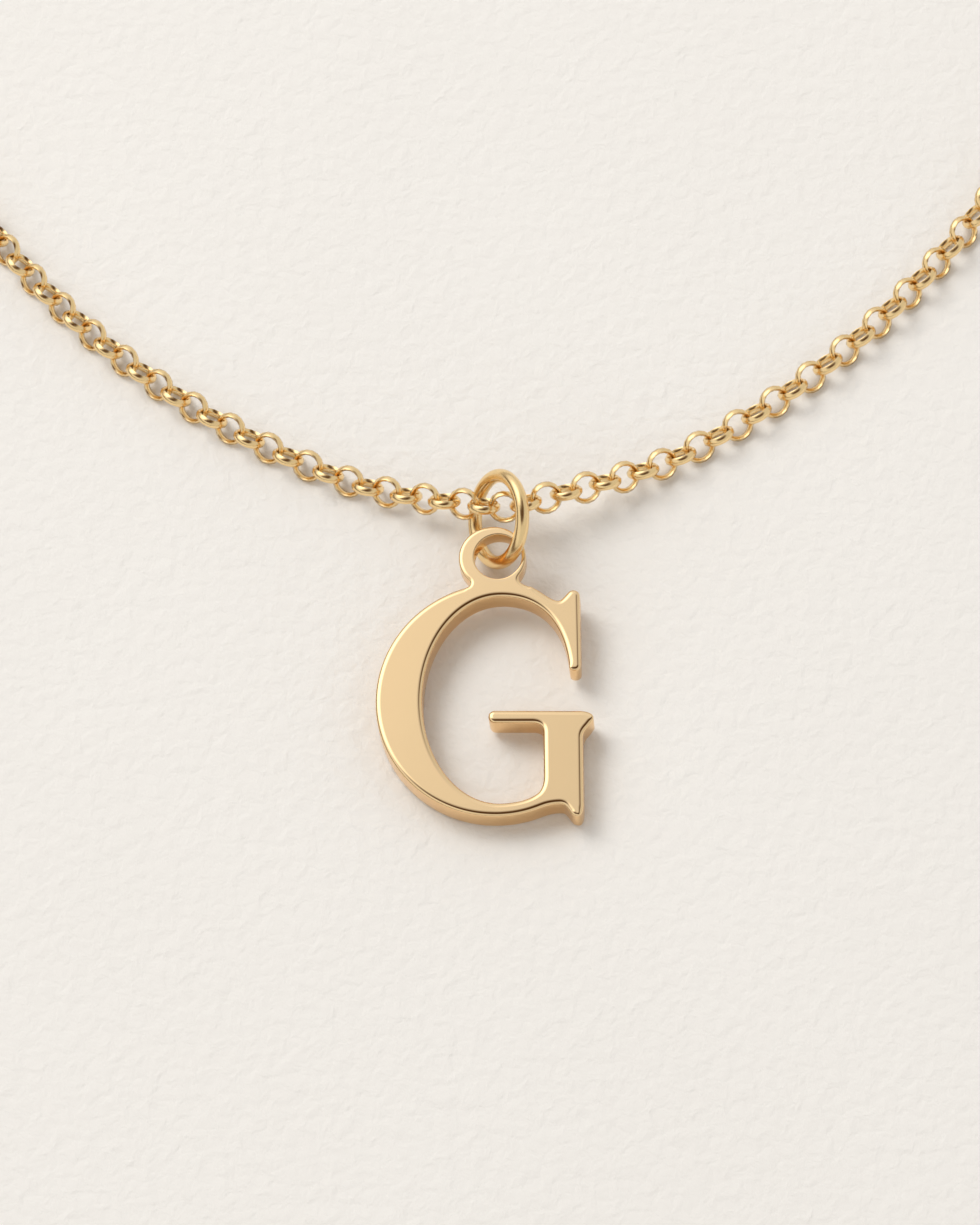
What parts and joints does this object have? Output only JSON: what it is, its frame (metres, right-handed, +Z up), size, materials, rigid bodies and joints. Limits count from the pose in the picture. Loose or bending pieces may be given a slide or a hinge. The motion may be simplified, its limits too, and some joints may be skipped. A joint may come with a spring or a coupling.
{
  "type": "letter charm necklace",
  "caption": "Flat serif letter G charm with a cast eyelet, hung by a jump ring on a round-link belcher chain loop with a plain clasp.",
  "frame": {"origin": "centre of the whole object's box, on the surface that it lies on", "axes": "+Y runs up the letter, from the charm to the back of the neck; +X runs across the letter to its right; +Z points up from the surface"},
  "size_m": [0.1018, 0.1824, 0.0064],
  "materials": {
    "polished_gold": "polished yellow gold plate",
    "chain_gold": "polished yellow gold plate"
  },
  "bodies": {
    "root": {"letter": "polished_gold", "jump_ring": "chain_gold", "chain_left": "chain_gold", "chain_right": "chain_gold", "clasp": "chain_gold"}
  },
  "joints": []
}
